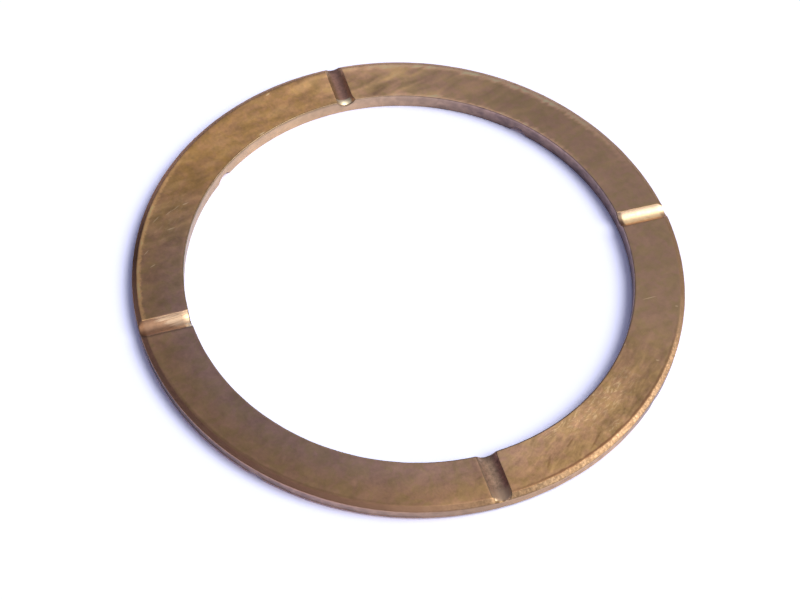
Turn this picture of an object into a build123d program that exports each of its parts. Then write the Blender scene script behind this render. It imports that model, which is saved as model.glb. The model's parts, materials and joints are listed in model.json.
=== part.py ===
from build123d import *
import os

# A flat bronze pressure ring with radial oil grooves cut across both faces.
# Millimetres. The origin is the centre of the bottom face, and +Z is the ring's axis.

# Turned blank. The face width is the ring's width from the bore to the rim.
BORE_DIAMETER = 81.5
FACE_WIDTH = 9.25
THICKNESS = 3.0

# Chamfer round the rim of both faces: across the face, and down the rim
RIM_CHAMFER_WIDTH = 0.95
RIM_CHAMFER_HEIGHT = 0.5

# Small edge break at both mouths of the bore
BORE_EDGE_BREAK = 0.15

# Oil grooves, each one pass of a round cutter across the land
GROOVES_PER_FACE = 4
CUTTER_DIAMETER = 4.0
GROOVE_DEPTH = 0.85
TOP_GROOVE_ANGLE = 21.6
UNDERSIDE_STAGGER = 40.9

# Each groove rolls down to a lip at the bore and at the rim, eased by hand
LIP_LENGTH = 0.9
LIP_DEPTH = 0.3

# How far the groove cutter runs past the bore and the rim
CUTTER_OVERRUN = 1.0

bore_radius = BORE_DIAMETER / 2
rim_radius = bore_radius + FACE_WIDTH
cutter_radius = CUTTER_DIAMETER / 2
groove_pitch = 360 / GROOVES_PER_FACE


def turned_blank():
    """The ring before grooving, revolved from its section."""
    section = Polyline(
        (bore_radius + BORE_EDGE_BREAK, 0, 0),
        (rim_radius - RIM_CHAMFER_WIDTH, 0, 0),
        (rim_radius, 0, RIM_CHAMFER_HEIGHT),
        (rim_radius, 0, THICKNESS - RIM_CHAMFER_HEIGHT),
        (rim_radius - RIM_CHAMFER_WIDTH, 0, THICKNESS),
        (bore_radius + BORE_EDGE_BREAK, 0, THICKNESS),
        (bore_radius, 0, THICKNESS - BORE_EDGE_BREAK),
        (bore_radius, 0, BORE_EDGE_BREAK),
        close=True,
    )
    return revolve(make_face(section), Axis.Z)


def lip_curve(start, outward):
    """A lip's edge: an arc that leaves the groove smoothly, then runs on straight past the end."""
    end = start + Vector(outward * LIP_LENGTH, 0, LIP_DEPTH)
    arc = TangentArc(start, end, tangent=(outward, 0, 0))
    run_out = Line(end, end + (arc % 1) * CUTTER_OVERRUN)
    return arc, run_out


def groove_cutter():
    """The space one groove takes, turned about its own axis, which lies along +X."""
    inner = Vector(bore_radius + LIP_LENGTH, 0, cutter_radius)
    outer = Vector(rim_radius - LIP_LENGTH, 0, cutter_radius)
    inner_arc, inner_run = lip_curve(inner, -1)
    outer_arc, outer_run = lip_curve(outer, 1)
    inner_end = inner_run @ 1
    outer_end = outer_run @ 1
    axis_line = Polyline(
        inner_end,
        (inner_end.X, 0, 0),
        (outer_end.X, 0, 0),
        outer_end,
    )
    flank = Line(inner, outer)
    outline = Curve() + [flank, inner_arc, inner_run, outer_arc, outer_run, axis_line]
    return revolve(make_face(outline), Axis.X)


def groove_set(cutter, first_angle, axis_height):
    """One face's grooves, evenly spaced round the ring."""
    angles = [first_angle + index * groove_pitch for index in range(GROOVES_PER_FACE)]
    return [Rot(0, 0, angle) * Pos(0, 0, axis_height) * cutter for angle in angles]


def pressure_ring():
    cutter = groove_cutter()
    top_axis = THICKNESS - GROOVE_DEPTH + cutter_radius
    underside_axis = GROOVE_DEPTH - cutter_radius
    top_grooves = groove_set(cutter, TOP_GROOVE_ANGLE, top_axis)
    underside_angle = TOP_GROOVE_ANGLE + UNDERSIDE_STAGGER
    underside_grooves = groove_set(Rot(180, 0, 0) * cutter, underside_angle, underside_axis)
    return turned_blank() - top_grooves - underside_grooves


os.makedirs("parts", exist_ok=True)
export_step(pressure_ring(), "parts/pressure_ring.step")
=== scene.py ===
import json
import math
from collections import namedtuple
import bpy
import numpy as np
from mathutils import Matrix, Vector


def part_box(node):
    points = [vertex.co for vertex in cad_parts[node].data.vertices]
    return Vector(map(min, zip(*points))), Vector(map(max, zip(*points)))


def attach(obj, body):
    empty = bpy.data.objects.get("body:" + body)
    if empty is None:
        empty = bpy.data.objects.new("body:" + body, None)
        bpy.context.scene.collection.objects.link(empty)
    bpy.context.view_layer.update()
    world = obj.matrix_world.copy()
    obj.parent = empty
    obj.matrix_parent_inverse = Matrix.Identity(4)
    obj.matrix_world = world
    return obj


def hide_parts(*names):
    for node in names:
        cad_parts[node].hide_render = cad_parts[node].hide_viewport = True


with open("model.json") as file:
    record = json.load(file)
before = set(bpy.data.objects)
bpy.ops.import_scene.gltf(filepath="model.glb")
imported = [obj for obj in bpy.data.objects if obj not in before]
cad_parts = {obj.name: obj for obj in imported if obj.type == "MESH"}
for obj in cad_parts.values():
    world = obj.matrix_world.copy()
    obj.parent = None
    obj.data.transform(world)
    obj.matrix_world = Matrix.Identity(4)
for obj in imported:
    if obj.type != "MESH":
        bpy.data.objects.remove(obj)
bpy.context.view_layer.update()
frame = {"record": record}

# A used bronze pressure ring that lies on a white sheet, in metres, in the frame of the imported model.
# Ring angles are in degrees, from +X towards +Y. The top face is the one that shows.

NODE = "pressure_ring"
MM = 0.001

# Camera. It looks down at the ring from the -Y side, and is turned a little about its own line of sight.
CAMERA_LENS = 81.0
CAMERA_ELEVATION = 54.91
CAMERA_ROLL = 4.83
CAMERA_DISTANCE = 0.32486
CAMERA_TARGET = Vector((-1.32 * MM, -5.58 * MM, 0))

# The lamp: where it comes from, how wide it looks from the ring, and how much it gives
SOFTBOX_AZIMUTH = -5.0
SOFTBOX_ELEVATION = 54.0
SOFTBOX_WIDTH = 42.0
SOFTBOX_STRENGTH = 1.9
SOFTBOX_COLOUR = (1.0, 0.98, 0.92)

# The room: dim and bluish on the left, brighter towards the right
ROOM_BRIGHT_AZIMUTH = 0.0
ROOM_BRIGHT_ELEVATION = 55.0
ROOM_DIM = (0.03, 0.035, 0.085, 1)
ROOM_BRIGHT = (0.95, 0.97, 1.15, 1)
ROOM_DIM_REACH = -0.25
ROOM_BRIGHT_REACH = 1.1
ROOM_FALL = 3.0

# The sheet's own colour, and the one that shows to the camera and in reflections
SHEET_COLOUR = (0.8, 0.8, 0.8, 1)
SHEET_SEEN = (1.28, 1.32, 1.62, 1)
FLOOR_WIDTH = 6.0

# Sizes of the ring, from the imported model
box_low, box_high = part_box(NODE)
bore_mount = next(mount for mount in frame["record"]["mounts"] if mount["name"] == "bore")
BOX_MARGIN = 0.004 * MM
thickness = box_high.z
rim_radius = min(box_high.x, box_high.y, -box_low.x, -box_low.y) - BOX_MARGIN
bore_radius = bore_mount["dims"]["r_mm"] * MM

# Edges
CHAMFER_WIDTH = 0.95 * MM
CHAMFER_DROP = 0.5 * MM
BORE_ROUNDING = 0.15 * MM
RIM_ROUNDING = 0.05 * MM
CORNER_SOFTNESS = 0.05 * MM
EDGE_LINE = 0.07 * MM
EDGE_REACH = 3.0 * MM
EDGE_FULL_REACH = 0.6 * EDGE_REACH
SOFTEST_EDGE = 0.4 * MM
GROOVE_MASK_DEPTH = 0.08 * MM
CHAMFER_BLEND = 0.03

# The small round at the bore looks like the bore's wall, and the one at the rim only has a share of its
# wall's look. Both looks end on the face, from full to nothing between two shares of the rounding.
BORE_MOUTH = (0.6, 1.5)
RIM_MOUTH = (0.3, 1.0)
RIM_MOUTH_SHARE = 0.4

# Where the chamfer is narrower than its width, how far that spreads, and the share of its width that it loses
Narrowing = namedtuple("Narrowing", "angle spread share")
NARROWINGS = (Narrowing(340, 32, 0.16), Narrowing(200, 60, 0.12))
CHAMFER_MIDDLE = 49.5 * MM
CHAMFER_UNEVENNESS = 0.02

# Wear: dents on the near right chamfer, and slight unevenness of the rim and the bore
DENTED_ANGLE = 318
DENTED_SPREAD = 26
DENTED_WIDTH = 1.2 * MM
DENTED_FULL_WIDTH = 0.7 * MM
DENT_DEPTH = 0.02 * MM
DENT_LENGTH = 1.0 * MM
FINE_DENT_LENGTH = 0.6 * MM
FINE_DENT_SHARE = 0.4
WORN_DEPTH = 0.01 * MM
WORN_REACH = 0.3 * MM
UNEVEN_LENGTH = 3.0 * MM

# Oil grooves, cut by a round cutter and eased to a lip at both ends. Hand filing left each one a little
# different: how far its lips go down, how far the one at the bore leans anticlockwise, how far the floor
# rises on its way to the rim, and how soft the groove's clockwise and anticlockwise edges are.
CUTTER_RADIUS = 2.0 * MM
GROOVE_DEPTH = 0.85 * MM
LIP_LENGTH = 1.1 * MM
LIP_DEPTH = 0.3 * MM
LIP_CURVE = 1.5
RISE_LENGTH = 3.0 * MM
Groove = namedtuple("Groove", "angle bore_lip lean rim_lip rise clockwise_edge anticlockwise_edge")
TOP_GROOVES = (
    Groove(21.1, 0.10 * MM, 0.1 * MM, 0.10 * MM, 0.0, 0.06 * MM, 0.04 * MM),
    Groove(111.6, 0.40 * MM, -0.2 * MM, 0.10 * MM, 0.0, 0.05 * MM, 0.06 * MM),
    Groove(201.9, 0.24 * MM, 0.0, -0.05 * MM, 0.0, 0.10 * MM, 0.25 * MM),
    Groove(292.2, 0.15 * MM, 0.0, 0.0, 0.25 * MM, 0.35 * MM, 0.04 * MM),
)
UNDERSIDE_GROOVES = tuple(
    Groove(angle, LIP_DEPTH, 0.0, LIP_DEPTH, 0.0, 0.05 * MM, 0.05 * MM)
    for angle in (62.7, 152.5, 242.5, 332.3)
)
GROOVES = sorted(TOP_GROOVES + UNDERSIDE_GROOVES)

# Mesh density
GROOVE_REACH = 1.6
GROOVE_COLUMNS = 41
COLUMNS_PER_DEGREE = 2.7
FACE_ROWS = 22
CHAMFER_ROWS = 6
WALL_ROWS = 4
CORNER_STEPS = 5
CLUSTERING_STEPS = 4001

# How the finish changes round the ring: values at ring angles, joined by straight lines. The ones whose
# names end in tone_and_shading multiply a colour and are partly painted light and shade, and the others are
# amounts of what they are named after.
ZONES = {
    "gilded": (
        (0, 0.1), (60, 0.1), (90, 0.1), (108, 0.35), (120, 1.0), (140, 1.1), (160, 1.35), (178, 0.6),
        (200, 0.2), (262, 0.2), (285, 0.5), (305, 0.7), (335, 0.6), (352, 0.1),
    ),
    "two_toned": ((150, 0.0), (185, 0.4), (205, 0.6), (285, 0.6), (305, 0.3), (325, 0.0)),
    # painted shade on the dim left: a patchy red-brown on the chamfer and a darker foot on the rim wall
    "dim_side_shade": (
        (0, 0.0), (60, 0.0), (100, 0.1), (118, 0.35), (140, 0.6), (170, 1.0), (240, 1.0),
        (262, 0.85), (280, 0.5), (290, 0.1), (300, 0.0),
    ),
    "lapped": (
        (0, 0.15), (40, 0.2), (60, 0.25), (76, 0.45), (90, 0.8), (104, 1.5), (122, 0.7), (140, 0.4),
        (170, 0.6), (195, 0.2), (215, 0.1), (270, 0.15), (300, 0.4), (325, 0.5), (340, 0.35), (350, 0.15),
    ),
    "mottled": (
        (0, 0.35), (15, 0.6), (40, 0.45), (60, 0.4), (85, 0.3), (104, 0.8), (122, 1.0), (150, 0.6),
        (170, 0.9), (195, 0.8), (215, 0.7), (270, 0.6), (300, 0.5), (325, 0.6), (345, 0.6),
    ),
    "steeply_lapped": ((285, 0.0), (300, 1.0), (343, 1.0), (352, 0.0)),
    "flecked": (
        (0, 0.3), (60, 0.25), (95, 0.5), (122, 0.8), (150, 0.5), (200, 0.6), (270, 0.5), (292, 0.7),
        (325, 0.7), (345, 0.2),
    ),
    # worn edges, and a painted highlight on the bore's rounded top edge
    "edge_wear_and_highlight": ((32, 0.0), (48, 0.7), (60, 1.1), (76, 0.9), (92, 0.7), (106, 0.5), (114, 0.0)),
    "gilt_edged": ((152, 0.0), (161, 0.6), (169, 0.9), (197, 1.0), (206, 0.0)),
    "lined": (
        (212, 0.0), (222, 0.4), (255, 0.4), (275, 0.1), (285, 0.0), (298, 0.6), (304, 1.0), (320, 1.0),
        (345, 0.5), (354, 0.0),
    ),
    "far_gilded": ((0, 0.6), (15, 0.7), (35, 0.2), (50, 0.0), (330, 0.0), (345, 0.35)),
    "hammered": ((276, 0.0), (290, 0.6), (300, 1.0), (345, 1.0), (356, 0.1)),
    # painted light: the bore wall is paler where it faces the lamp
    "bore_lit_side": ((15, 0.0), (70, 0.0), (100, 0.6), (125, 1.0), (190, 1.0), (230, 0.5), (345, 0.1)),
    "rim_cleaned": ((255, 0.0), (290, 0.7), (318, 1.0), (345, 1.0), (356, 0.3)),
    # partly painted light and shade: lighter and darker round the ring to match how bright the face looks
    "face_tone_and_shading": (
        (0, 1.2), (30, 1.46), (52, 1.46), (90, 1.45), (112, 1.4), (125, 1.08), (160, 1.12), (200, 1.2),
        (230, 1.18), (265, 1.08), (285, 0.92), (320, 0.82), (345, 1.05),
    ),
    # partly painted shade: darkest near 184 degrees, where the chamfer faces the dim room and the contact
    # shadow, and near 298 degrees, where it holds back the lamp's glint
    "chamfer_tone_and_shading": (
        (0, 0.95), (15, 0.95), (35, 1.15), (60, 1.35), (75, 1.3), (90, 1.2), (105, 1.4), (120, 1.1),
        (142, 0.95), (160, 1.25), (167, 1.15), (175, 0.6), (184, 0.42), (195, 1.1), (205, 1.3), (213, 1.15),
        (240, 1.32), (258, 1.16), (268, 1.06), (278, 0.94), (288, 0.52), (294, 0.42), (298, 0.38), (312, 0.6),
        (322, 0.8), (345, 1.2),
    ),
    # partly painted shade: darker from 45 to 90 degrees, where the bore wall faces away from the light and
    # reflects the shadowed floor
    "bore_tone_and_shading": (
        (15, 1.0), (45, 0.72), (70, 0.6), (90, 0.73), (106, 0.92), (118, 0.86), (135, 0.94), (190, 0.5),
        (345, 0.9),
    ),
    # partly painted shade: darkest near 208 degrees, where the rim wall faces the dim room and its shadowed
    # floor, and near 332 degrees, where it holds back the lamp's glint
    "rim_tone_and_shading": (
        (20, 0.9), (50, 1.3), (105, 1.3), (130, 1.0), (170, 0.9), (190, 0.5), (208, 0.31), (225, 0.6),
        (255, 0.97), (270, 0.88), (285, 0.78), (300, 1.25), (318, 1.3), (332, 0.2), (345, 0.4),
    ),
}

# Places on the top face, each with how far it spreads round and across the ring: paler and darker
# patches with their change of tone, and clusters of short bright strokes with their share
Patch = namedtuple("Patch", "angle radius turn width change")
PATCHES = (
    Patch(33, 42.0 * MM, 5, 1.2 * MM, 0.14),
    Patch(60, 44.5 * MM, 11, 2.2 * MM, -0.14),
    Patch(66, 47.0 * MM, 5, 1.0 * MM, -0.10),
    Patch(78, 43.8 * MM, 9, 1.2 * MM, -0.08),
    Patch(92, 41.9 * MM, 8, 1.2 * MM, 0.2),
    Patch(99, 42.0 * MM, 4, 1.2 * MM, 0.12),
    Patch(100, 47.0 * MM, 4, 1.2 * MM, 0.24),
    Patch(126, 47.3 * MM, 9, 1.3 * MM, 0.14),
    Patch(111, 41.3 * MM, 4, 0.6 * MM, 0.2),
    Patch(131, 49.2 * MM, 15, 0.8 * MM, -0.3),
    Patch(141, 41.9 * MM, 9, 1.3 * MM, -0.14),
    Patch(146, 47.6 * MM, 12, 1.2 * MM, 0.12),
    Patch(161, 43.6 * MM, 5, 2.0 * MM, -0.12),
    Patch(168, 45.0 * MM, 12, 2.0 * MM, -0.10),
    Patch(176, 46.8 * MM, 4, 1.4 * MM, -0.12),
    Patch(182, 41.0 * MM, 18, 0.4 * MM, 0.3),
    Patch(192, 45.5 * MM, 7, 2.2 * MM, -0.12),
    Patch(204.8, 45.0 * MM, 1, 5.0 * MM, 0.2),
    Patch(219, 42.0 * MM, 5, 1.2 * MM, 0.2),
    Patch(230, 48.6 * MM, 28, 0.5 * MM, 0.1),
    Patch(240, 48.0 * MM, 8, 0.8 * MM, -0.06),
    Patch(269, 42.0 * MM, 10, 1.2 * MM, 0.1),
    Patch(282, 48.6 * MM, 6, 1.0 * MM, 0.2),
    Patch(289.2, 43.5 * MM, 1.4, 3.2 * MM, -0.24),
    Patch(295.5, 42.8 * MM, 1.5, 1.6 * MM, 0.12),
    Patch(302, 42.4 * MM, 5, 1.4 * MM, 0.1),
    Patch(312, 47.0 * MM, 9, 1.8 * MM, -0.12),
    Patch(317, 42.8 * MM, 6, 1.6 * MM, 0.25),
    Patch(325.5, 46.8 * MM, 1.5, 0.9 * MM, -0.25),
    Patch(326, 44.0 * MM, 5, 1.6 * MM, 0.16),
    Patch(328.7, 48.2 * MM, 1.5, 0.8 * MM, -0.3),
    Patch(334, 47.6 * MM, 7, 1.8 * MM, -0.2),
    Patch(341, 42.0 * MM, 5, 1.4 * MM, -0.14),
)
STROKED = (
    Patch(309, 41.6 * MM, 4, 1.0 * MM, 0.9),
    Patch(319, 42.8 * MM, 6, 2.0 * MM, 1.0),
    Patch(329, 44.0 * MM, 6, 2.2 * MM, 0.8),
    Patch(321, 47.8 * MM, 3, 0.7 * MM, 0.9),
    Patch(172, 45.0 * MM, 9, 3.0 * MM, 0.3),
)

# Scratches on the top face, in millimetres: the middle, the direction in degrees, the length and the width.
# They don't show further down than their reach. The shares say how strongly they show.
SCRATCH_REACH = 1.0
BRIGHT_SCRATCH_SHARE = 0.7
DARK_SCRATCH_SHARE = 0.45
Scratch = namedtuple("Scratch", "x y direction length width")
BRIGHT_SCRATCHES = (
    Scratch(-30.1, 28.1, 45, 1.3, 0.25),
    Scratch(-30.1, 38.0, 50, 0.9, 0.22),
    Scratch(-42.2, 9.8, 35, 1.4, 0.16),
    Scratch(-43.8, 8.6, 50, 2.4, 0.1),
    Scratch(-44.9, 7.4, 52, 1.8, 0.1),
    Scratch(-44.0, 3.8, 30, 1.5, 0.2),
    Scratch(-47.0, 5.6, 60, 2.2, 0.13),
    Scratch(-46.0, -4.8, 45, 1.2, 0.15),
    Scratch(-47.6, -2.0, 62, 1.6, 0.12),
    Scratch(43.4, -2.6, 22, 3.1, 0.11),
    Scratch(48.3, -3.9, 0, 0.3, 0.2),
    Scratch(38.9, -13.2, 70, 0.3, 0.18),
    Scratch(44.7, -15.9, 0, 0.5, 0.16),
    Scratch(33.4, -24.2, 50, 0.3, 0.18),
)
DARK_SCRATCHES = (
    Scratch(26.0, -38.6, 82, 2.6, 0.3),
    Scratch(34.0, -33.2, 66, 4.6, 0.25),
    Scratch(29.6, -34.2, 62, 2.4, 0.2),
)

# Colours of the finish, from 0 to 255. The ones in pairs meet in patches.
FACE_BROWN = ((186, 149, 120), (180, 150, 111))
FACE_GOLD = ((194, 147, 99), (187, 144, 88))
FACE_BORE_SIDE = ((187, 149, 136), (180, 149, 124))
FACE_RIM_SIDE = ((190, 144, 107), (182, 144, 97))
FACE_BUFFED = (194, 158, 108)
FACE_BORDER = (240, 193, 151)
FACE_STROKES = (236, 204, 156)
BRIGHT_SCRATCH = (240, 208, 160)
DARK_SCRATCH = (128, 92, 60)
GILT_EDGE = (246, 193, 130)
CHAMFER_BARE = ((190, 152, 114), (205, 168, 130))
CHAMFER_GOLD = (194, 151, 102)
# painted shade: the chamfer's patchy red-brown on the dim left
CHAMFER_DIM_SIDE_SHADE = (184, 136, 104)
CHAMFER_LINE = (118, 82, 60)
WALL_DULL = ((154, 128, 120), (176, 145, 130))
# painted light: the bore wall's paler colour on the side that faces the lamp
BORE_LIT_PALE = (206, 173, 132)
RIM_CLEANED = (184, 148, 98)
GROOVE_PLAIN = (200, 160, 126)
GROOVE_FILED = (240, 206, 168)
GROOVE_EDGE = (120, 88, 68)

# Each top groove's colours, for its floor, its clockwise and its anticlockwise side, and how mottled it is.
# They are partly painted light and shade: floors and sides are lighter or darker as they face the light or
# turn away from it, most of all the near white floor of the first groove.
GrooveTonesAndLight = namedtuple("GrooveTonesAndLight", "floor clockwise anticlockwise mottled")
GROOVE_TONES_AND_LIGHT = (
    GrooveTonesAndLight((251, 220, 172), (200, 150, 108), (232, 204, 172), 0.0),
    GrooveTonesAndLight((229, 178, 148), (240, 186, 140), (209, 172, 124), 0.5),
    GrooveTonesAndLight((192, 150, 117), (188, 146, 114), (208, 170, 138), 0.0),
    GrooveTonesAndLight((211, 175, 140), (216, 180, 146), (206, 156, 131), 1.0),
)

# Spots on the top grooves, in the order in which they are laid on: the groove, how the spot comes in along
# it and across it, in millimetres from nothing to its full share, the share and the colour. Places along a
# groove count from the ring's axis, and places across it count from its middle, anticlockwise. A spot that
# comes in before the groove's clockwise side lies all the way across. Several spots are painted highlights
# and painted shade, as noted on them.
Spot = namedtuple("Spot", "groove along across share colour")
ALL_ACROSS = (-4.0, -3.0)
SPOTS = (
    # painted shadow at the first groove's bore end, on its clockwise side
    Spot(1, (41.9, 41.4), (3.0, -0.2), 1.0, (130, 102, 84)),
    # painted shade that narrows the first groove's highlight at its rim end, on the clockwise side
    Spot(1, (48.7, 49.3), (0.8, -0.4), 0.7, (170, 128, 98)),
    # painted highlight on the second groove's lip at the bore
    Spot(2, (42.1, 41.8), (-1.5, -1.1), 1.0, (255, 238, 198)),
    Spot(2, (40.0, 40.5), (1.7, 2.0), 1.0, (186, 148, 108)),
    # painted highlight at the third groove's bore end, on its anticlockwise side
    Spot(3, (42.1, 41.7), (0.2, 0.8), 1.0, (255, 238, 208)),
    Spot(3, (48.6, 49.3), ALL_ACROSS, 0.8, (150, 110, 82)),
    Spot(4, (47.0, 48.2), ALL_ACROSS, 1.0, (244, 206, 164)),
    Spot(4, (49.5, 49.9), (0.6, -0.3), 1.0, (180, 145, 106)),
    Spot(4, (49.3, 49.7), (0.3, 0.9), 1.0, (250, 205, 165)),
    # painted shade over the glint at the fourth groove's clockwise corner by the rim, here and in the next
    # line
    Spot(4, (48.7, 49.2), (-1.35, -1.7), 1.0, (98, 78, 57)),
    Spot(4, (49.4, 49.7), (-0.5, -1.15), 1.0, (98, 78, 57)),
    Spot(4, (40.0, 40.5), (-1.5, -2.0), 1.0, (168, 136, 104)),
)

# File marks in one groove, from its bore end outwards: which groove, how many degrees they turn from its
# line, and where they come in along it and across it. They reach further by some millimetres on each mark,
# and less by some for each millimetre across. Last come their share between the marks, and how much more
# there is on them.
FILED_GROOVE = 3
FILED_TURN = 6
FILED_ALONG = (45.0, 42.6)
FILED_ACROSS = (1.7, 1.1)
FILED_FURTHER_ON_MARKS = 6.0
FILED_LESS_ACROSS = 1.2
FILED_LESS = 2.5
FILED_BETWEEN = 0.5
FILED_ON_MARKS = 0.6

# Radii in millimetres: the middle of the face, how far from it the worn borders start and are full, how
# far their edges wander, where the near left's tint changes from the bore's to the rim's, and where the bore
# wall is told from the rim wall
FACE_MIDDLE = 44.7
BORDER_START = 4.0
BORDER_FULL = 5.3
BORDER_RAGGEDNESS = 2.2
TINT_START = 41.5
TINT_FINISH = 48.0
BORE_SIDE = 44.9
RIM_SIDE = 45.1

# Painted contact shadow on the dim left: there the rim wall gets darker from the first of these heights
# down to the second, in millimetres
FOOT_SHADOW_TOP = 1.4
FOOT_SHADOW_FULL = 0.6

# Shares and amounts in the finish
GILDED_LEAST = 0.55
GILDED_CHANGE = 0.4
BUFFED_SHARE = 0.5
STROKE_SHARE = 0.62
LINE_SHARE = 0.75
GROOVE_EDGE_SHARE = 0.25
LAPPED_CHANGE = 1.6
MOTTLED_CHANGE = 0.9
FLECKED_CHANGE = 0.6
WALL_CHANGE = 0.5
SPARKLE_CHANGE = 2.4
DARKEST_SPECK = -0.09
GROOVE_CHANGE = 0.5
GROOVE_MOTTLED_CHANGE = 1.2
# a painted highlight on the bore's rounded top edge where it is worn, and painted shade that holds back its
# glint on the side that faces the lamp
MOUTH_HIGHLIGHT = 0.5
MOUTH_GLINT_SHADE = -0.35
# painted contact shadow at the rim wall's foot
FOOT_SHADOW_DARKENING = -0.75

# The metal's surface
ROUGHNESS = 0.36
GRAIN_ROUGHNESS = 0.2
WALL_ROUGHNESS = -0.12
ANISOTROPY = 0.6
BUMP_STRENGTH = 0.2
BUMP_DISTANCE = 0.05 * MM
TURNED_RINGS_PER_MM = 5.0
TURNED_HEIGHT = 0.5
LAPPED_HEIGHT = 0.8
BEATEN_HEIGHT = 1.6


def smooth_step(low, high, value):
    share = np.clip((value - low) / (high - low), 0, 1)
    return share * share * (3 - 2 * share)


def soft_max(first, second, softness):
    """The larger of two heights, with the corner where they cross rounded off."""
    return (first + second + np.sqrt((first - second) ** 2 + softness**2)) / 2


def clustered(start, end, count, edges, reach, pull):
    """Values from start to end, closer together near the edges."""
    fine = np.linspace(start, end, CLUSTERING_STEPS)
    density = np.ones_like(fine)
    for edge in edges:
        density += pull / (1 + ((fine - edge) / reach) ** 2)
    total = np.cumsum(density) - density[0]
    return np.interp(np.linspace(0, total[-1], count), total, fine)


def ripples(points, wavelength, seed, count=28):
    """Smooth seeded noise about 0, made of waves of about one length in all directions."""
    random = np.random.default_rng(seed)
    directions = random.normal(size=(count, points.shape[-1]))
    directions /= np.linalg.norm(directions, axis=1, keepdims=True)
    lengths = wavelength * random.uniform(0.7, 1.5, count)
    phases = random.uniform(0, 2 * math.pi, count)
    waves = 2 * math.pi * (points @ directions.T) / lengths + phases
    return np.cos(waves).sum(-1) / math.sqrt(count)


def turn_from(angle, centre):
    """Angle from a centre, in degrees from -180 to 180."""
    return (angle - centre + 180) % 360 - 180


def near(angle, centre, spread):
    """1 at a ring angle, falling to 0 over a spread on both sides."""
    return np.exp(-((turn_from(angle, centre) / spread) ** 2))


def into_lips(along):
    """Shares of the way through a groove's lips: the one at the bore, and the one at the rim."""
    at_bore = np.clip((bore_radius + LIP_LENGTH - along) / LIP_LENGTH, 0, 1)
    at_rim = np.clip((along - rim_radius + LIP_LENGTH) / LIP_LENGTH, 0, 1)
    return at_bore, at_rim


def groove_cut(groove, across, along):
    """Depth of a groove's surface below the face. It is negative beside the groove."""
    at_bore, at_rim = into_lips(along)
    bore_lip = groove.bore_lip * at_bore**LIP_CURVE
    rim_lip = groove.rim_lip * at_rim**LIP_CURVE
    rise = groove.rise * np.clip((along - rim_radius) / RISE_LENGTH + 1, 0, 1)
    radius = CUTTER_RADIUS + bore_lip + rim_lip - rise
    share = (across - groove.lean * at_bore) / CUTTER_RADIUS
    return radius * np.sqrt(np.maximum(1 - share**2, 0)) - (CUTTER_RADIUS - GROOVE_DEPTH)


def groove_half_width(radius):
    """Half the width of a groove where it meets the face or the chamfer."""
    bevel = np.clip((radius - rim_radius + CHAMFER_WIDTH) / CHAMFER_WIDTH, 0, 1) * CHAMFER_DROP
    height = CUTTER_RADIUS - GROOVE_DEPTH + bevel
    swell = LIP_DEPTH * sum(share**LIP_CURVE for share in into_lips(radius))
    return np.sqrt((CUTTER_RADIUS + swell) ** 2 - height**2)


def chamfer_width(angle):
    """The rim's chamfer is uneven: narrower on the left, and most of all near 340 degrees."""
    turn = np.radians(angle)
    places = CHAMFER_MIDDLE * np.stack([np.cos(turn), np.sin(turn)], axis=-1)
    narrow = sum(part.share * near(angle, part.angle, part.spread) for part in NARROWINGS)
    return CHAMFER_WIDTH * (1 - narrow + CHAMFER_UNEVENNESS * ripples(places, UNEVEN_LENGTH, seed=6))


def face_rows():
    """Shares across a face: 0 at the bore, 1 at the chamfer's inner edge and 2 at the rim."""
    corner = 1 - np.cos(np.linspace(0, math.pi / 2, CORNER_STEPS))
    face_width = rim_radius - CHAMFER_WIDTH - bore_radius
    bore_rows = corner * BORE_ROUNDING / face_width
    flat_rows = clustered(bore_rows[-1], 1.0, FACE_ROWS, edges=(0.0, 1.0), reach=0.02, pull=6)
    rim_share = RIM_ROUNDING / CHAMFER_WIDTH
    chamfer_rows = clustered(1.0, 2 - rim_share, CHAMFER_ROWS, edges=(1.0,), reach=0.1, pull=2)
    rim_rows = 2 - corner[::-1] * rim_share
    return np.concatenate([bore_rows[:-1], flat_rows[:-1], chamfer_rows[:-1], rim_rows])


def column_plan():
    """Each column's nominal angle, the groove before it, and its place beside that groove.

    Inside a groove's zone the place is a share of its half-width. Between two zones it is a share of
    the way to the next one."""
    grooves = [groove.angle for groove in GROOVES]
    zone = math.degrees(GROOVE_REACH * groove_half_width(bore_radius + LIP_LENGTH) / bore_radius)
    edges = (-1 / GROOVE_REACH, 1 / GROOVE_REACH)
    shares = clustered(-1, 1, GROOVE_COLUMNS, edges, reach=0.03, pull=8)
    plan = []
    for index, groove in enumerate(grooves):
        for share in shares:
            plan.append((groove + share * zone, index, share * GROOVE_REACH, 0.0))
        gap = (grooves[(index + 1) % len(grooves)] - groove) % 360 - 2 * zone
        steps = round(gap * COLUMNS_PER_DEGREE)
        for step in range(1, steps):
            way = step / steps
            plan.append((groove + zone + way * gap, index, GROOVE_REACH, way))
    nominal, index, place, way = (np.array(values) for values in zip(*plan))
    return np.array(grooves), nominal, index, place, way


def column_angles(radius, grooves, index, place, way):
    """Angle of every column at a radius. Columns follow the flanks of the grooves."""
    half_width = groove_half_width(radius)
    beside = np.degrees(np.arcsin(place * half_width / radius))
    reach = np.degrees(np.arcsin(GROOVE_REACH * half_width / radius))
    start = grooves[index]
    gap = (grooves[(index + 1) % len(grooves)] - start) % 360
    return start + beside + way * (gap - 2 * reach)


def mouth_rounding(radius):
    """Extra depth at the two edges where a face turns down into the bore and the rim."""
    inner = np.clip(1 - (radius - bore_radius) / BORE_ROUNDING, 0, 1)
    outer = np.clip(1 - (rim_radius - radius) / RIM_ROUNDING, 0, 1)
    inner_drop = BORE_ROUNDING * (1 - np.sqrt(1 - inner**2))
    outer_drop = RIM_ROUNDING * (1 - np.sqrt(1 - outer**2))
    return inner_drop + outer_drop


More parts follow.
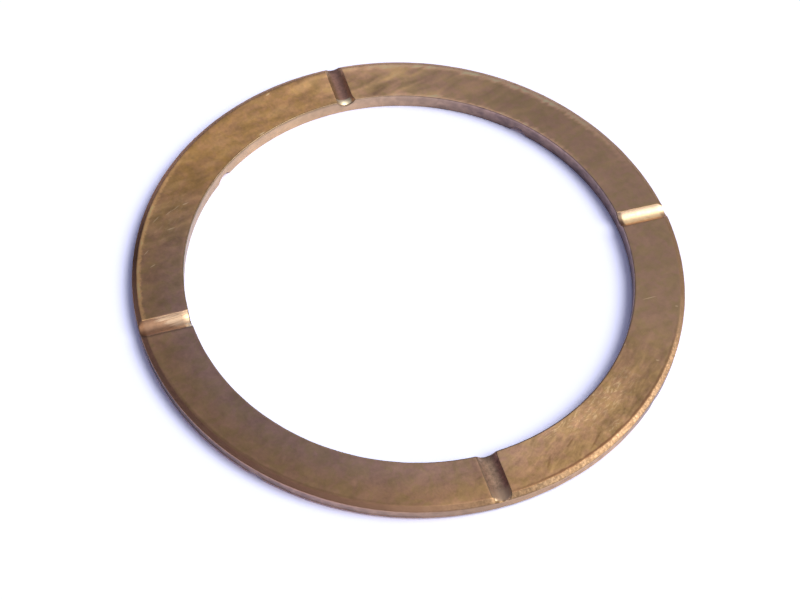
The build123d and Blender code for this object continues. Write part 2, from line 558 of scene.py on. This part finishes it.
def face_shape(radius, angle, grooves):
    """Depth of one face below its plane, and two shares: of being in a groove, and on its edge."""
    width = chamfer_width(angle)
    bevel = (radius - rim_radius + width) / width * CHAMFER_DROP
    depth = soft_max(bevel, np.zeros_like(bevel), CORNER_SOFTNESS)
    plain = depth.copy()
    on_edge = np.zeros_like(depth)
    for groove in grooves:
        turn = np.radians(turn_from(angle, groove.angle))
        across = radius * np.sin(turn)
        nearby = (np.cos(turn) > 0) & (np.abs(across) < EDGE_REACH)
        cut = groove_cut(groove, across, radius * np.cos(turn))
        softness = np.where(across < 0, groove.clockwise_edge, groove.anticlockwise_edge)
        fade = 1 - smooth_step(EDGE_FULL_REACH, EDGE_REACH, np.abs(across))
        depth = np.where(nearby, soft_max(depth, cut, softness * fade), depth)
        sharpness = nearby * np.clip(1 - softness / SOFTEST_EDGE, 0, 1)
        on_edge = np.maximum(on_edge, sharpness * np.exp(-(((cut - plain) / EDGE_LINE) ** 2)))
    in_groove = smooth_step(0.0, GROOVE_MASK_DEPTH, depth - plain)
    return depth + mouth_rounding(radius), in_groove, on_edge


def mouth_share(radius):
    """1 on the small round at the bore, less on the one at the rim, and 0 on the face."""
    inner = 1 - smooth_step(*BORE_MOUTH, (radius - bore_radius) / BORE_ROUNDING)
    outer = 1 - smooth_step(*RIM_MOUTH, (rim_radius - radius) / RIM_ROUNDING)
    return inner + RIM_MOUTH_SHARE * outer


def ring_surface():
    """Radius, angle and height of every point, row by row round the section, and the regions."""
    grooves, nominal, index, place, way = column_plan()
    rows = face_rows()[:, None]
    width = chamfer_width(nominal)[None, :]
    edge = rim_radius - width
    radius = np.where(rows <= 1, bore_radius + rows * (edge - bore_radius), edge + (rows - 1) * width)
    angle = column_angles(radius, grooves, index, place, way)
    top_depth, top_groove, top_edge = face_shape(radius, angle, TOP_GROOVES)
    low_depth, low_groove, low_edge = face_shape(radius, angle, UNDERSIDE_GROOVES)
    top = thickness - top_depth
    low = low_depth
    mouth = mouth_share(radius)
    from_chamfer = (radius - edge) / MM
    down = np.linspace(0, 1, WALL_ROWS + 2)[1:-1, None]
    rim_wall = top[-1] + down * (low[-1] - top[-1])
    bore_wall = low[0] + down * (top[0] - low[0])
    radius = np.concatenate([radius, radius[-1] + 0 * down, radius[::-1], radius[0] + 0 * down])
    angle = np.concatenate([angle, angle[-1] + 0 * down, angle[::-1], angle[0] + 0 * down])
    height = np.concatenate([top, rim_wall, low[::-1], bore_wall])
    walls = np.zeros_like(rim_wall)

    def whole(top_values, low_values, wall_value=0.0):
        """Values of every point, from those of both faces and one for the walls."""
        return np.concatenate([top_values, walls + wall_value, low_values[::-1], walls + wall_value])

    chamfer = smooth_step(1 - CHAMFER_BLEND, 1 + CHAMFER_BLEND, rows) * np.ones_like(top)
    groove = whole(top_groove, low_groove)
    regions = {
        "groove": groove,
        "chamfer": whole(chamfer, chamfer) * (1 - groove),
        "wall": whole(mouth, mouth, 1.0),
        "top_mouth": whole(mouth, 0 * mouth),
        "groove_edge": whole(top_edge, low_edge),
        "from_chamfer": whole(from_chamfer, from_chamfer),
    }
    return radius, angle, height, regions


def across_marks(angle, groove, wall):
    """The direction across the tool marks: they run round the faces, along the grooves and down the walls."""
    grooves = np.array([groove.angle for groove in GROOVES])
    offsets = turn_from(angle[..., None], grooves)
    nearest = grooves[np.abs(offsets).argmin(axis=-1)]
    across = np.where(groove > 0.5, nearest + 90, angle)
    across = np.radians(np.where(wall > 0.5, angle + 90, across))
    return np.stack([np.cos(across), np.sin(across), 0 * across], axis=-1)


def groove_places(radius, angle, height):
    """Masks of the top face's grooves, each by its number, and the place across and along a groove."""
    on_top = height > thickness / 2
    masks = {}
    offsets = []
    for number, groove in enumerate(TOP_GROOVES, 1):
        turn = turn_from(angle, groove.angle)
        offsets.append(turn)
        masks[f"groove_{number}"] = 1.0 * (on_top & (np.abs(turn) < 90 / len(TOP_GROOVES)))
    offsets = np.array(offsets)
    nearest = np.take_along_axis(offsets, np.abs(offsets).argmin(axis=0)[None], axis=0)[0]
    masks["groove_across"] = radius * np.sin(np.radians(nearest)) / MM
    masks["groove_along"] = radius * np.cos(np.radians(nearest)) / MM
    return masks


def patchwork(radius, angle, patches):
    """What a list of patches adds up to at each point."""
    total = np.zeros_like(radius)
    for patch in patches:
        across = np.exp(-(((radius - patch.radius) / patch.width) ** 2))
        total += patch.change * near(angle, patch.angle, patch.turn) * across
    return total


def add_wear(radius, angle, height):
    """Dents on the near right chamfer, and slight unevenness of rim and bore."""
    turn = np.radians(angle)
    points = np.stack([radius * np.cos(turn), radius * np.sin(turn), height], axis=-1)
    rim_share = smooth_step(rim_radius - DENTED_WIDTH, rim_radius - DENTED_FULL_WIDTH, radius)
    top_share = smooth_step(0.4, 0.6, height / thickness)
    dented = rim_share * top_share * near(angle, DENTED_ANGLE, DENTED_SPREAD)
    dents = np.abs(ripples(points, DENT_LENGTH, seed=3))
    dents = dents + FINE_DENT_SHARE * ripples(points, FINE_DENT_LENGTH, seed=4)
    height = height - DENT_DEPTH * dented * np.clip(dents, 0, 2)
    at_rim = smooth_step(rim_radius - WORN_REACH, rim_radius, radius)
    at_bore = 1 - smooth_step(bore_radius, bore_radius + WORN_REACH, radius)
    worn = WORN_DEPTH * np.clip(1 + ripples(points, UNEVEN_LENGTH, seed=5), 0, 3)
    return radius - at_rim * worn + at_bore * worn, height


def ring_mesh():
    radius, angle, height, regions = ring_surface()
    radius, height = add_wear(radius, angle, height)
    rows, columns = radius.shape
    turn = np.radians(angle)
    corners = np.stack([radius * np.cos(turn), radius * np.sin(turn), height], axis=-1)
    number = np.arange(rows * columns).reshape(rows, columns)
    next_row = np.roll(number, -1, axis=0)
    next_column = np.roll(number, -1, axis=1)
    next_both = np.roll(next_row, -1, axis=1)
    faces = np.stack([number, next_row, next_both, next_column], axis=-1).reshape(-1, 4)
    mesh = bpy.data.meshes.new(NODE + "_worn")
    mesh.from_pydata(corners.reshape(-1, 3).tolist(), [], faces.tolist())
    mesh.shade_smooth()
    masks = regions | groove_places(radius, angle, height)
    masks["patch"] = patchwork(radius, angle, PATCHES)
    masks["stroked"] = np.minimum(patchwork(radius, angle, STROKED), 1)
    for name, shares in ZONES.items():
        masks[name] = np.interp(angle % 360, *zip(*shares), period=360)
    for name, values in masks.items():
        layer = mesh.attributes.new(name, "FLOAT", "POINT")
        layer.data.foreach_set("value", values.ravel().astype(np.float32))
    layer = mesh.attributes.new("across_marks", "FLOAT_VECTOR", "POINT")
    across = across_marks(angle, regions["groove"], regions["wall"])
    layer.data.foreach_set("vector", across.ravel().astype(np.float32))
    return mesh


class Shader:
    """The nodes of a material or a world, with short calls that add them."""

    def __init__(self, owner):
        owner.use_nodes = True
        self.owner = owner
        self.nodes = owner.node_tree.nodes
        self.links = owner.node_tree.links
        self.nodes.clear()

    def add(self, kind, inputs=None, **settings):
        node = self.nodes.new(kind)
        for name, value in settings.items():
            setattr(node, name, value)
        for key, value in (inputs or {}).items():
            self.feed(node.inputs[key], value)
        return node

    def feed(self, socket, value):
        if isinstance(value, bpy.types.NodeSocket):
            self.links.new(value, socket)
        else:
            socket.default_value = value

    def sum(self, kind, first, second=0.0, third=0.0, clamp=False):
        node = self.add("ShaderNodeMath", {0: first, 1: second, 2: third}, operation=kind, use_clamp=clamp)
        return node.outputs[0]

    def vector(self, kind, first, second=(0, 0, 0)):
        return self.add("ShaderNodeVectorMath", {0: first, 1: second}, operation=kind).outputs[0]

    def ramp(self, value, low, high):
        """0 below low and 1 above high, with a smooth way between."""
        inputs = {"Value": value, "From Min": low, "From Max": high}
        return self.add("ShaderNodeMapRange", inputs, interpolation_type="SMOOTHSTEP").outputs[0]

    def noise(self, place, scale, detail=3.0, distortion=0.0):
        """Noise about 0.5, at so many cells a millimetre."""
        inputs = {"Vector": place, "Scale": scale, "Detail": detail, "Distortion": distortion}
        return self.add("ShaderNodeTexNoise", inputs).outputs[0]

    def blend(self, share, first, second):
        inputs = {"Factor": share, "A": first, "B": second}
        node = self.add("ShaderNodeMix", None, data_type="RGBA")
        for socket in node.inputs:
            if socket.identifier in ("Factor_Float", "A_Color", "B_Color"):
                self.feed(socket, inputs[socket.name])
        return next(socket for socket in node.outputs if socket.identifier == "Result_Color")

    def mixed(self, share, first, second):
        """The same for two values."""
        node = self.add("ShaderNodeMix", None, data_type="FLOAT")
        for socket, value in zip((node.inputs[0], node.inputs[2], node.inputs[3]), (share, first, second)):
            self.feed(socket, value)
        return node.outputs[0]

    def scaled(self, colour, tone):
        return self.add("ShaderNodeVectorMath", {0: colour, "Scale": tone}, operation="SCALE").outputs[0]

    def attribute(self, name):
        return self.add("ShaderNodeAttribute", attribute_name=name).outputs["Fac"]


def linear(colour):
    """A colour as shaders take it, from its usual 0 to 255 values."""
    return tuple((value / 255) ** 2.2 for value in colour) + (1.0,)


def patched(shader, share, pair):
    """Two colours that meet in patches."""
    return shader.blend(share, linear(pair[0]), linear(pair[1]))


def varied(shader, tone, noise, zone, amount):
    """A tone that a noise about 0.5 makes lighter and darker, as far as a zone lets it."""
    change = shader.sum("MULTIPLY", shader.sum("SUBTRACT", noise, 0.5), shader.attribute(zone))
    return shader.sum("MULTIPLY_ADD", change, amount, tone)


def bent(shader, place, scale, amount):
    """Places moved about by a slow noise, so that what is drawn on them isn't straight."""
    inputs = {"Vector": place, "Scale": scale, "Detail": 1.0}
    drift = shader.add("ShaderNodeTexNoise", inputs).outputs["Color"]
    drift = shader.vector("SUBTRACT", drift, (0.5, 0.5, 0.5))
    return shader.vector("ADD", place, shader.vector("MULTIPLY", drift, (amount, amount, amount)))


def streaks(shader, place, direction, length, width, detail=3.0):
    """Noise drawn out along one direction on the face, given in degrees from +X."""
    turned = shader.add("ShaderNodeVectorRotate", {
        "Vector": place,
        "Angle": -math.radians(direction),
    }, rotation_type="Z_AXIS").outputs[0]
    drawn_out = shader.vector("MULTIPLY", turned, (1 / length, 1 / width, 1 / width))
    return shader.noise(drawn_out, 1.0, detail)


def scratched(shader, place, scratches):
    """1 on the scratches of a list and 0 beside them. Each one is brightest in its middle."""
    total = 0.0
    for mark in scratches:
        turn = math.radians(mark.direction)
        offset = shader.vector("SUBTRACT", place, (mark.x, mark.y, thickness / MM))
        squares = 0.0
        for axis, size in (
            ((math.cos(turn), math.sin(turn), 0), mark.length / 2 + mark.width),
            ((-math.sin(turn), math.cos(turn), 0), mark.width),
            ((0, 0, 1), SCRATCH_REACH),
        ):
            along = shader.add("ShaderNodeVectorMath", {0: offset, 1: axis}, operation="DOT_PRODUCT")
            share = shader.sum("MULTIPLY", along.outputs["Value"], 1 / size)
            squares = shader.sum("MULTIPLY_ADD", share, share, squares)
        total = shader.sum("MAXIMUM", shader.ramp(squares, 1.0, 0.0), total)
    return total


def beside_chamfer(shader, zone, noise, inside, raggedness, edges):
    """1 on a ragged line round the face, so many millimetres inside the chamfer, where a zone has it."""
    line = shader.sum("ABSOLUTE", shader.sum("ADD", shader.attribute("from_chamfer"), inside))
    line = shader.sum("MULTIPLY_ADD", noise, -raggedness, line)
    return shader.sum("MULTIPLY", shader.ramp(line, *edges), shader.attribute(zone))


def bare_face(shader, place, radius, mottling):
    """The face without its marks: patchy brown, golden in places, and of two tones on the near left."""
    clouds = shader.noise(place, scale=0.5, detail=4.0, distortion=0.6)
    patches = shader.ramp(clouds, 0.35, 0.65)
    golden = shader.sum("MULTIPLY_ADD", mottling, GILDED_CHANGE, GILDED_LEAST)
    golden = shader.sum("MULTIPLY", shader.attribute("gilded"), golden)
    colour = shader.blend(golden, patched(shader, patches, FACE_BROWN), patched(shader, patches, FACE_GOLD))
    near_bore = patched(shader, patches, FACE_BORE_SIDE)
    near_rim = patched(shader, patches, FACE_RIM_SIDE)
    tint = shader.blend(shader.ramp(radius, TINT_START, TINT_FINISH), near_bore, near_rim)
    return shader.blend(shader.attribute("two_toned"), colour, tint)


def marked_face(shader, place, radius, colour):
    """The face's pale worn borders, short bright strokes and scratches."""
    from_middle = shader.sum("ABSOLUTE", shader.sum("SUBTRACT", radius, FACE_MIDDLE))
    jagged = streaks(shader, place, direction=30, length=3.0, width=1.0)
    jagged = shader.sum("MULTIPLY_ADD", jagged, BORDER_RAGGEDNESS, from_middle)
    border = shader.ramp(jagged, BORDER_START, BORDER_FULL)
    border = shader.sum("MULTIPLY", border, shader.attribute("edge_wear_and_highlight"))
    colour = shader.blend(border, colour, linear(FACE_BORDER))
    bends = bent(shader, place, scale=0.25, amount=1.5)
    steep = streaks(shader, bends, direction=62, length=1.6, width=0.4)
    shallow = streaks(shader, bends, direction=38, length=1.2, width=0.35)
    strokes = shader.ramp(shader.sum("MAXIMUM", steep, shallow), 0.56, 0.68)
    strokes = shader.sum("MULTIPLY", strokes, shader.attribute("stroked"))
    colour = shader.blend(shader.sum("MULTIPLY", strokes, STROKE_SHARE), colour, linear(FACE_STROKES))
    for scratches, share, tint in (
        (BRIGHT_SCRATCHES, BRIGHT_SCRATCH_SHARE, BRIGHT_SCRATCH),
        (DARK_SCRATCHES, DARK_SCRATCH_SHARE, DARK_SCRATCH),
    ):
        marks = shader.sum("MULTIPLY", scratched(shader, place, scratches), share)
        colour = shader.blend(marks, colour, linear(tint))
    return colour


def face_colour(shader, place, radius, lapping):
    """Brown bronze with smears of lapping, its marks, a gilt edge, and lighter and darker places, partly
    painted light and shade round the ring.
    """
    mottling = shader.noise(place, scale=0.4, detail=6.0, distortion=0.8)
    flecks = shader.noise(place, scale=1.8, detail=4.0, distortion=0.5)
    colour = bare_face(shader, place, radius, mottling)
    buffed = shader.sum("MULTIPLY", shader.ramp(lapping, 0.5, 0.7), shader.attribute("lapped"), clamp=True)
    colour = shader.blend(shader.sum("MULTIPLY", buffed, BUFFED_SHARE), colour, linear(FACE_BUFFED))
    colour = marked_face(shader, place, radius, colour)
    gilt = beside_chamfer(shader, "gilt_edged", flecks, inside=0.22, raggedness=0.8, edges=(0.4, -0.3))
    colour = shader.blend(gilt, colour, linear(GILT_EDGE))
    # the face's tone round the ring, partly painted light and shade
    tone = shader.sum("ADD", shader.attribute("face_tone_and_shading"), shader.attribute("patch"))
    tone = varied(shader, tone, lapping, "lapped", LAPPED_CHANGE)
    tone = varied(shader, tone, mottling, "mottled", MOTTLED_CHANGE)
    tone = varied(shader, tone, flecks, "flecked", FLECKED_CHANGE)
    return shader.scaled(colour, tone)


def chamfer_colour(shader, place):
    """Bare golden metal, with patchy red-brown painted shade on the left, where it faces the dim room, and a
    beaten, sparkling stretch on the right. Its tone round the ring is partly painted shade.
    """
    patches = shader.noise(place, scale=0.5, detail=4.0, distortion=0.5)
    sparkle = shader.noise(place, scale=2.3, detail=4.0, distortion=0.4)
    colour = patched(shader, shader.ramp(patches, 0.3, 0.7), CHAMFER_BARE)
    colour = shader.blend(shader.attribute("far_gilded"), colour, linear(CHAMFER_GOLD))
    # painted shade on the left, where the chamfer faces the dim room
    dim_shade = shader.sum("MULTIPLY", shader.attribute("dim_side_shade"), shader.ramp(patches, 0.1, 0.5))
    colour = shader.blend(dim_shade, colour, linear(CHAMFER_DIM_SIDE_SHADE))
    # the chamfer's tone round the ring, partly painted shade
    tone = shader.attribute("chamfer_tone_and_shading")
    specks = shader.sum("MAXIMUM", shader.sum("SUBTRACT", sparkle, 0.5), DARKEST_SPECK)
    specks = shader.sum("MULTIPLY", specks, shader.attribute("hammered"))
    specks = shader.sum("MULTIPLY", specks, tone)
    return shader.scaled(colour, shader.sum("MULTIPLY_ADD", specks, SPARKLE_CHANGE, tone))


def wall_colour(shader, place, radius):
    """Dull metal, golden on the rim on the right, and paler in the bore on the left as painted light on the
    side that faces the lamp. Painted shade darkens the rim wall's foot on the dim left and holds back the
    glint on the bore's rounded edge, which a painted highlight lights where it is worn.
    """
    in_bore = shader.ramp(radius, RIM_SIDE, BORE_SIDE)
    on_rim = shader.ramp(radius, BORE_SIDE, RIM_SIDE)
    # painted light on the bore wall's side that faces the lamp
    lit_side = shader.sum("MULTIPLY", in_bore, shader.attribute("bore_lit_side"))
    rubbed = shader.sum("MULTIPLY", on_rim, shader.attribute("rim_cleaned"))
    patches = shader.noise(place, scale=0.6, detail=5.0, distortion=0.5)
    colour = patched(shader, shader.ramp(patches, 0.3, 0.7), WALL_DULL)
    colour = shader.blend(lit_side, colour, linear(BORE_LIT_PALE))
    colour = shader.blend(rubbed, colour, linear(RIM_CLEANED))
    # the walls' tones round the ring, partly painted shade
    tone = shader.mixed(in_bore, shader.attribute("rim_tone_and_shading"), shader.attribute("bore_tone_and_shading"))
    # painted shade and a painted highlight on the bore's rounded top edge
    on_mouth = shader.sum("MULTIPLY", shader.attribute("top_mouth"), in_bore)
    glint_shade = shader.sum("MULTIPLY", on_mouth, lit_side)
    highlighted_edge = shader.sum("MULTIPLY", on_mouth, shader.attribute("edge_wear_and_highlight"))
    change = shader.sum("MULTIPLY_ADD", glint_shade, MOUTH_GLINT_SHADE, 1.0)
    change = shader.sum("MULTIPLY_ADD", highlighted_edge, MOUTH_HIGHLIGHT, change)
    tone = shader.sum("MULTIPLY", tone, change)
    # painted contact shadow: the rim wall darkens towards its foot on the dim left
    height = shader.add("ShaderNodeSeparateXYZ", {0: place}).outputs["Z"]
    foot_shadow = shader.sum("MULTIPLY", shader.ramp(height, FOOT_SHADOW_TOP, FOOT_SHADOW_FULL), shader.attribute("dim_side_shade"))
    foot_shadow = shader.sum("MULTIPLY", foot_shadow, on_rim)
    tone = shader.sum("MULTIPLY", tone, shader.sum("MULTIPLY_ADD", foot_shadow, FOOT_SHADOW_DARKENING, 1.0))
    unevenness = shader.sum("SUBTRACT", patches, 0.5)
    return shader.scaled(colour, shader.sum("MULTIPLY_ADD", unevenness, WALL_CHANGE, tone))


def groove_colour(shader, place):
    """Each groove's colours, partly painted light and shade of its floor and sides, uneven in tone, and
    mottled in some.
    """
    across = shader.attribute("groove_across")
    clockwise = shader.ramp(across, -0.5, -1.4)
    anticlockwise = shader.ramp(across, 0.3, 1.4)
    colour = linear(GROOVE_PLAIN)
    mottled = 0.0
    for number, tones in enumerate(GROOVE_TONES_AND_LIGHT, 1):
        mask = shader.attribute(f"groove_{number}")
        own = shader.blend(clockwise, linear(tones.floor), linear(tones.clockwise))
        own = shader.blend(anticlockwise, own, linear(tones.anticlockwise))
        colour = shader.blend(mask, colour, own)
        mottled = shader.sum("MULTIPLY_ADD", mask, tones.mottled, mottled)
    grain = shader.noise(place, scale=1.2, detail=4.0)
    tone = shader.sum("MULTIPLY_ADD", grain, GROOVE_CHANGE, 1 - GROOVE_CHANGE / 2)
    mottling = shader.noise(place, scale=2.0, detail=5.0, distortion=0.5)
    mottling = shader.sum("MULTIPLY", shader.sum("SUBTRACT", mottling, 0.5), mottled)
    return shader.scaled(colour, shader.sum("MULTIPLY_ADD", mottling, GROOVE_MOTTLED_CHANGE, tone))


def filed_marks(shader, place, along, across):
    """Bright file marks that run out from one groove's bore end, further on its clockwise side."""
    direction = TOP_GROOVES[FILED_GROOVE - 1].angle + FILED_TURN
    marks = streaks(shader, place, direction, length=4.0, width=0.22)
    slant = shader.sum("MULTIPLY_ADD", across, -FILED_LESS_ACROSS, -FILED_LESS)
    reach = shader.sum("MULTIPLY_ADD", marks, FILED_FURTHER_ON_MARKS, slant)
    filed = shader.ramp(shader.sum("SUBTRACT", along, reach), *FILED_ALONG)
    filed = shader.sum("MULTIPLY", filed, shader.attribute(f"groove_{FILED_GROOVE}"))
    filed = shader.sum("MULTIPLY", filed, shader.ramp(across, *FILED_ACROSS))
    share = shader.sum("MULTIPLY_ADD", shader.ramp(marks, 0.35, 0.6), FILED_ON_MARKS, FILED_BETWEEN)
    return shader.sum("MULTIPLY", filed, share)


def finished_grooves(shader, place, colour):
    """The file marks, the spots at the grooves' ends and sides, some of them painted highlights and painted
    shade, and their darker edges.
    """
    along = shader.attribute("groove_along")
    across = shader.attribute("groove_across")
    colour = shader.blend(filed_marks(shader, place, along, across), colour, linear(GROOVE_FILED))
    for spot in SPOTS:
        share = shader.sum("MULTIPLY", shader.ramp(along, *spot.along), shader.ramp(across, *spot.across))
        share = shader.sum("MULTIPLY", share, shader.attribute(f"groove_{spot.groove}"))
        colour = shader.blend(shader.sum("MULTIPLY", share, spot.share), colour, linear(spot.colour))
    edge = shader.sum("MULTIPLY", shader.attribute("groove_edge"), GROOVE_EDGE_SHARE)
    return shader.blend(edge, colour, linear(GROOVE_EDGE))


def ring_colour(shader, place, radius, lapping):
    """The colours of the face, the chamfer, the grooves and the walls, and the dark line at the chamfer."""
    groove = shader.attribute("groove")
    colour = face_colour(shader, place, radius, lapping)
    colour = shader.blend(shader.attribute("chamfer"), colour, chamfer_colour(shader, place))
    cut = finished_grooves(shader, place, groove_colour(shader, place))
    colour = shader.blend(groove, colour, cut)
    colour = shader.blend(shader.attribute("wall"), colour, wall_colour(shader, place, radius))
    breaks = shader.noise(place, scale=0.7, detail=3.0)
    line = beside_chamfer(shader, "lined", breaks, inside=0.2, raggedness=0.5, edges=(0.15, -0.2))
    line = shader.sum("MULTIPLY", line, LINE_SHARE)
    line = shader.sum("MULTIPLY", line, shader.ramp(groove, 0.3, 0.0))
    return shader.blend(line, colour, linear(CHAMFER_LINE))


def ring_relief(shader, place, flat, radius, lapping, grain):
    """Fine height of the surface: grain, turned rings, lapping marks and the beaten stretch."""
    rings = shader.sum("MULTIPLY", radius, TURNED_RINGS_PER_MM)
    rings = shader.add("ShaderNodeCombineXYZ", {0: rings}).outputs[0]
    drift = shader.vector("MULTIPLY", flat, (0.03, 0.03, 0))
    rings = shader.noise(shader.vector("ADD", rings, drift), scale=1.0)
    hammered = shader.sum("MULTIPLY", shader.attribute("chamfer"), shader.attribute("hammered"))
    beaten = shader.sum("MULTIPLY", hammered, shader.noise(place, scale=2.2, detail=4.0))
    height = shader.sum("MULTIPLY_ADD", rings, TURNED_HEIGHT, grain)
    height = shader.sum("MULTIPLY_ADD", lapping, LAPPED_HEIGHT, height)
    return shader.sum("MULTIPLY_ADD", beaten, BEATEN_HEIGHT, height)


def bronze_material():
    shader = Shader(bpy.data.materials.new("bronze"))
    place = shader.add("ShaderNodeTexCoord").outputs["Object"]
    place = shader.vector("MULTIPLY", place, (1 / MM, 1 / MM, 1 / MM))
    flat = shader.vector("MULTIPLY", place, (1, 1, 0))
    radius = shader.add("ShaderNodeVectorMath", {0: flat}, operation="LENGTH").outputs["Value"]
    grain = shader.noise(place, scale=2.2, detail=5.0)
    bends = bent(shader, place, scale=0.12, amount=3.0)
    shallow = streaks(shader, bends, direction=33, length=8.0, width=1.8, detail=1.0)
    steep = streaks(shader, bends, direction=62, length=3.0, width=0.8, detail=2.0)
    lapping = shader.mixed(shader.attribute("steeply_lapped"), shallow, steep)
    roughness = shader.sum("MULTIPLY_ADD", grain, GRAIN_ROUGHNESS, ROUGHNESS)
    roughness = shader.sum("MULTIPLY_ADD", shader.attribute("wall"), WALL_ROUGHNESS, roughness)
    bump = shader.add("ShaderNodeBump", {
        "Height": ring_relief(shader, place, flat, radius, lapping, grain),
        "Strength": BUMP_STRENGTH,
        "Distance": BUMP_DISTANCE,
    })
    tangent = shader.add("ShaderNodeAttribute", attribute_name="across_marks").outputs["Vector"]
    surface = shader.add("ShaderNodeBsdfPrincipled", {
        "Base Color": ring_colour(shader, place, radius, lapping),
        "Metallic": 1.0,
        "Roughness": roughness,
        "Anisotropic": ANISOTROPY,
        "Tangent": tangent,
        "Normal": bump.outputs[0],
    })
    shader.add("ShaderNodeOutputMaterial", {"Surface": surface.outputs[0]})
    return shader.owner


def sheet_material():
    """White floor that keeps the ring's shadow. It looks white to the camera and in the metal."""
    shader = Shader(bpy.data.materials.new("white_sheet"))
    plain = shader.add("ShaderNodeBsdfDiffuse", {"Color": SHEET_COLOUR})
    seen_white = shader.add("ShaderNodeBsdfDiffuse", {"Color": SHEET_SEEN})
    path = shader.add("ShaderNodeLightPath").outputs
    seen = shader.sum("MAXIMUM", path["Is Camera Ray"], path["Is Glossy Ray"])
    seen = shader.sum("MAXIMUM", seen, path["Is Transmission Ray"])
    sheet = shader.add("ShaderNodeMixShader", {0: seen, 1: plain.outputs[0], 2: seen_white.outputs[0]})
    shader.add("ShaderNodeOutputMaterial", {"Surface": sheet.outputs[0]})
    return shader.owner


def add_object(name, data):
    thing = bpy.data.objects.new(name, data)
    bpy.context.scene.collection.objects.link(thing)
    return thing


def add_ring():
    ring = add_object("worn_ring", ring_mesh())
    ring.data.materials.append(bronze_material())
    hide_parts(NODE)
    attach(ring, "root")


def add_floor():
    half = FLOOR_WIDTH / 2
    corners = [(-half, -half, 0), (half, -half, 0), (half, half, 0), (-half, half, 0)]
    mesh = bpy.data.meshes.new("floor")
    mesh.from_pydata(corners, [], [(0, 1, 2, 3)])
    floor = add_object("floor", mesh)
    mesh.materials.append(sheet_material())


def direction_of(azimuth, elevation):
    azimuth = math.radians(azimuth)
    elevation = math.radians(elevation)
    level = math.cos(elevation)
    return Vector((level * math.cos(azimuth), level * math.sin(azimuth), math.sin(elevation)))


def add_softbox():
    """A round soft light, far off."""
    lamp = bpy.data.lights.new("softbox", "SUN")
    lamp.angle = math.radians(SOFTBOX_WIDTH)
    lamp.energy = SOFTBOX_STRENGTH
    lamp.color = SOFTBOX_COLOUR
    softbox = add_object("softbox", lamp)
    softbox.rotation_mode = "QUATERNION"
    towards = direction_of(SOFTBOX_AZIMUTH, SOFTBOX_ELEVATION)
    softbox.rotation_quaternion = towards.to_track_quat("Z", "Y")


def add_world():
    """A plain room, that gets brighter towards one side."""
    world = bpy.data.worlds.new("studio")
    shader = Shader(world)
    direction = shader.add("ShaderNodeTexCoord").outputs["Generated"]
    bright_side = direction_of(ROOM_BRIGHT_AZIMUTH, ROOM_BRIGHT_ELEVATION)
    facing = shader.add("ShaderNodeVectorMath", {0: direction, 1: bright_side}, operation="DOT_PRODUCT")
    share = shader.add("ShaderNodeMapRange", {
        "Value": facing.outputs["Value"],
        "From Min": ROOM_DIM_REACH,
        "From Max": ROOM_BRIGHT_REACH,
    }).outputs[0]
    colour = shader.blend(shader.sum("POWER", share, ROOM_FALL), ROOM_DIM, ROOM_BRIGHT)
    background = shader.add("ShaderNodeBackground", {"Color": colour, "Strength": 1.0})
    shader.add("ShaderNodeOutputWorld", {"Surface": background.outputs[0]})
    bpy.context.scene.world = world


def add_camera():
    elevation = math.radians(CAMERA_ELEVATION)
    roll = math.radians(CAMERA_ROLL)
    forward = Vector((0, math.cos(elevation), -math.sin(elevation)))
    level_right = Vector((1, 0, 0))
    level_up = Vector((0, math.sin(elevation), math.cos(elevation)))
    right = level_right * math.cos(roll) + level_up * math.sin(roll)
    up = level_up * math.cos(roll) - level_right * math.sin(roll)
    data = bpy.data.cameras.new("camera")
    data.lens = CAMERA_LENS
    data.clip_start = 0.01
    data.clip_end = 20.0
    camera = add_object("camera", data)
    camera.rotation_mode = "QUATERNION"
    camera.rotation_quaternion = Matrix((right, up, -forward)).transposed().to_quaternion()
    camera.location = CAMERA_TARGET - forward * CAMERA_DISTANCE
    bpy.context.scene.camera = camera


bpy.context.scene.view_settings.view_transform = "Standard"
add_ring()
add_floor()
add_world()
add_softbox()
add_camera()
